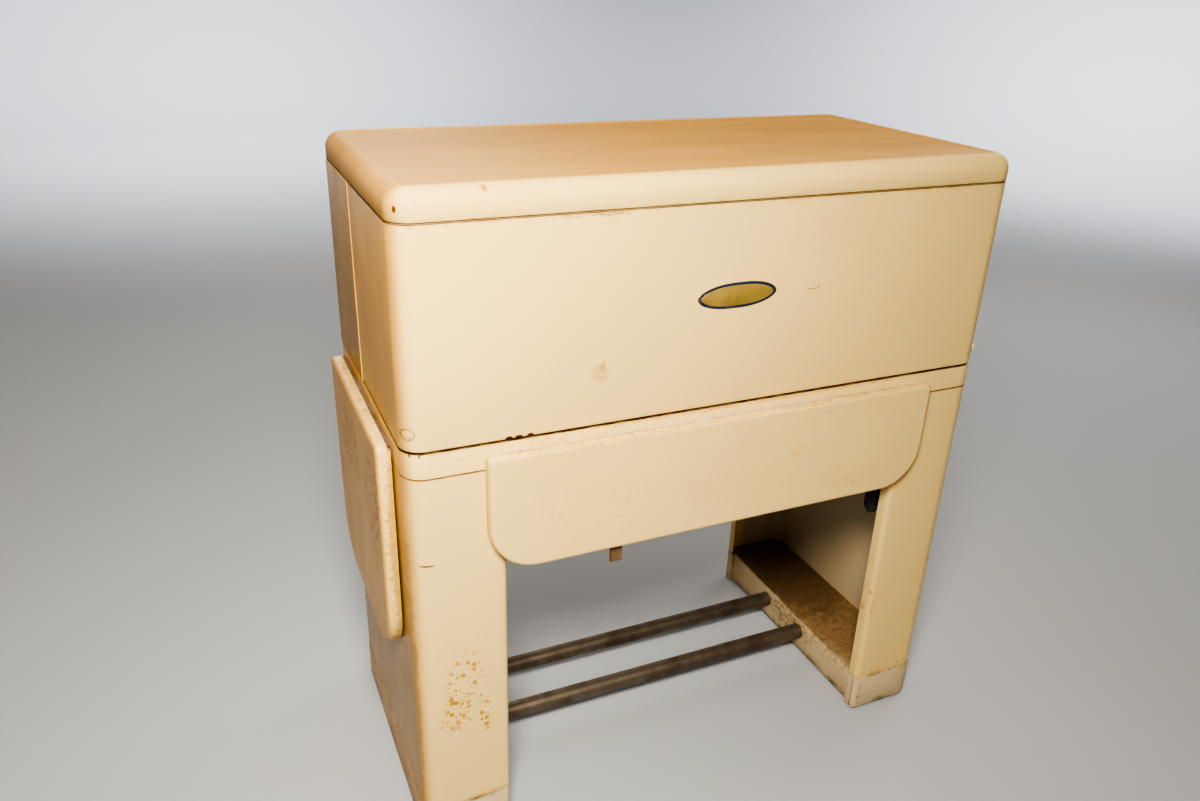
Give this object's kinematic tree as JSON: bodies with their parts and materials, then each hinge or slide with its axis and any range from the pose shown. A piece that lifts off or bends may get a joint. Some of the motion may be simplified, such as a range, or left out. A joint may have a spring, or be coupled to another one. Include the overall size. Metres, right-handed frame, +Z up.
{
  "type": "cabinet rotary ironer",
  "caption": "Enamelled steel cabinet with a hinged hood over an open-ended ironing roll and heated shoe, folding front and side leaves, a knee space and tubular foot rails.",
  "frame": {"origin": "middle of the whole object's outline, on the floor under the glides", "axes": "+X to the cabinet's right as seen from the front, +Y towards the back, +Z up; the front leaf hangs at -Y and the side leaf at -X"},
  "size_m": [0.8674, 0.442, 0.914],
  "materials": {
    "cream_enamel": "aged gloss enamel",
    "plinth_enamel": "worn enamel",
    "primed_steel": "satin enamel",
    "rubber_foot": "matte",
    "bumper_rubber": "matte",
    "rail_steel": "dull, tarnished",
    "deck_enamel": "satin enamel",
    "badge_metal": "worn",
    "hinge_steel": "dull, rust specks",
    "fibreboard": "raw fibreboard",
    "brace_enamel": "worn enamel",
    "bright_shaft": "machined",
    "drum_steel": "rolled",
    "padding": "felt",
    "cover_cloth": "woven cotton",
    "grey_casting": "painted casting",
    "bronze": "machined",
    "pulley_iron": "machined",
    "motor_paint": "satin",
    "belt_rubber": "matte",
    "shoe_chrome": "polished",
    "shoe_enamel": "gloss enamel",
    "element_steel": "heat-tinted",
    "lever_steel": "satin black",
    "black_rubber": "matte",
    "bar_chrome": "polished",
    "black_plastic": "moulded",
    "lamp_red": "clear red lens"
  },
  "bodies": {
    "cabinet": {"left_base_channel": "plinth_enamel", "right_base_channel": "plinth_enamel", "floor_glides": "rubber_foot", "left_leg_shell": "cream_enamel", "right_leg_shell": "cream_enamel", "front_foot_rail": "rail_steel", "rear_foot_rail": "rail_steel", "base_rim": "cream_enamel", "front_apron": "primed_steel", "rear_apron": "primed_steel", "cross_rails": "primed_steel", "work_deck": "deck_enamel", "hood_back": "cream_enamel", "hood_bumpers": "bumper_rubber", "hood_hinges_fixed": "hinge_steel", "hinge_pins": "hinge_steel", "front_hinge_fixed": "hinge_steel", "side_hinge_fixed": "hinge_steel", "gear_case": "grey_casting", "gear_case_cover": "grey_casting", "motor_housing": "motor_paint", "motor_cradle": "motor_paint", "drive_belt": "belt_rubber", "pillow_blocks": "grey_casting", "control_panel": "shoe_enamel", "pilot_lamp": "lamp_red", "cord_bushing": "bumper_rubber"},
    "hood": {"hood_front": "cream_enamel", "top_cap": "cream_enamel", "hood_frame": "cream_enamel", "hood_buttons": "cream_enamel", "hood_badge": "badge_metal", "hood_hinges_moving": "hinge_steel"},
    "front_leaf": {"front_leaf_skin": "cream_enamel", "front_leaf_core": "fibreboard", "front_hinge_moving": "hinge_steel"},
    "front_brace": {"front_leaf_brace": "brace_enamel"},
    "side_leaf": {"side_leaf_skin": "cream_enamel", "side_leaf_core": "fibreboard", "side_hinge_moving": "hinge_steel"},
    "side_brace": {"side_leaf_brace": "brace_enamel"},
    "roll": {"roll_shaft": "bright_shaft", "roll_drum": "drum_steel", "roll_padding": "padding", "roll_cover": "cover_cloth", "worm_wheel": "bronze"},
    "worm": {"worm_shaft": "bright_shaft", "driven_pulley": "pulley_iron"},
    "motor_shaft": {"rotor": "bright_shaft", "motor_pulley": "pulley_iron"},
    "shoe": {"shoe_plate": "shoe_chrome", "shoe_housing": "shoe_enamel", "heating_elements": "element_steel", "shoe_arms": "grey_casting"},
    "knee_control": {"knee_lever": "lever_steel", "knee_pad": "black_rubber"},
    "finger_bar": {"press_bar": "bar_chrome"},
    "thermostat": {"thermostat_knob": "black_plastic"},
    "motor_toggle": {"motor_switch": "black_plastic"},
    "heat_toggle": {"heat_switch": "black_plastic"}
  },
  "joints": [
    {"name": "hood_hinge", "type": "hinge", "parent": "cabinet", "child": "hood", "pos_m": [0.0102, 0.21765, 0.878], "axis": [-1, 0, 0], "range_deg": [0, 105]},
    {"name": "front_leaf_hinge", "type": "hinge", "parent": "cabinet", "child": "front_leaf", "pos_m": [0.0102, -0.20675, 0.6], "axis": [-1, 0, 0], "range_deg": [0, 90]},
    {"name": "front_brace_pivot", "type": "hinge", "parent": "front_leaf", "child": "front_brace", "pos_m": [-0.1443, -0.20925, 0.524], "axis": [1, 0, 0], "range_deg": [0, 136]},
    {"name": "side_leaf_hinge", "type": "hinge", "parent": "cabinet", "child": "side_leaf", "pos_m": [-0.416, 0.01095, 0.6], "axis": [0, 1, 0], "range_deg": [0, 90]},
    {"name": "side_brace_pivot", "type": "hinge", "parent": "side_leaf", "child": "side_brace", "pos_m": [-0.4185, 0.01095, 0.478], "axis": [0, -1, 0], "range_deg": [0, 137]},
    {"name": "roll_spin", "type": "hinge", "parent": "cabinet", "child": "roll", "pos_m": [-0.0123, -0.03305, 0.74], "axis": [1, 0, 0], "continuous": true},
    {"name": "worm_spin", "type": "hinge", "parent": "cabinet", "child": "worm", "pos_m": [0.3557, -0.03305, 0.665], "axis": [0, 1, 0], "continuous": true},
    {"name": "motor_spin", "type": "hinge", "parent": "cabinet", "child": "motor_shaft", "pos_m": [0.3627, 0.09695, 0.455], "axis": [0, 1, 0], "continuous": true},
    {"name": "shoe_pivot", "type": "hinge", "parent": "cabinet", "child": "shoe", "pos_m": [-0.0423, 0.04695, 0.548], "axis": [1, 0, 0], "range_deg": [0, 5]},
    {"name": "knee_pivot", "type": "hinge", "parent": "cabinet", "child": "knee_control", "pos_m": [0.3247, -0.16255, 0.56], "axis": [0, -1, 0], "range_deg": [0, 15], "stiffness_Nm_per_rad": 3, "springref_deg": -1.15},
    {"name": "finger_bar_pivot", "type": "hinge", "parent": "cabinet", "child": "finger_bar", "pos_m": [-0.0193, -0.14105, 0.622], "axis": [1, 0, 0], "range_deg": [0, 12], "stiffness_Nm_per_rad": 8, "springref_deg": -2.86},
    {"name": "thermostat_turn", "type": "hinge", "parent": "cabinet", "child": "thermostat", "pos_m": [0.3877, -0.14305, 0.668], "axis": [0, -1, 0], "range_deg": [-270, 0]},
    {"name": "motor_toggle_throw", "type": "hinge", "parent": "cabinet", "child": "motor_toggle", "pos_m": [0.3297, -0.14105, 0.668], "axis": [-1, 0, 0], "range_deg": [0, 36]},
    {"name": "heat_toggle_throw", "type": "hinge", "parent": "cabinet", "child": "heat_toggle", "pos_m": [0.3557, -0.14105, 0.668], "axis": [-1, 0, 0], "range_deg": [0, 36]}
  ],
  "couplings": [
    {"joint": "front_brace_pivot", "follows": "front_leaf_hinge", "ratio": 1.51},
    {"joint": "side_brace_pivot", "follows": "side_leaf_hinge", "ratio": 1.52},
    {"joint": "worm_spin", "follows": "roll_spin", "ratio": 48},
    {"joint": "motor_spin", "follows": "roll_spin", "ratio": 122.67}
  ]
}
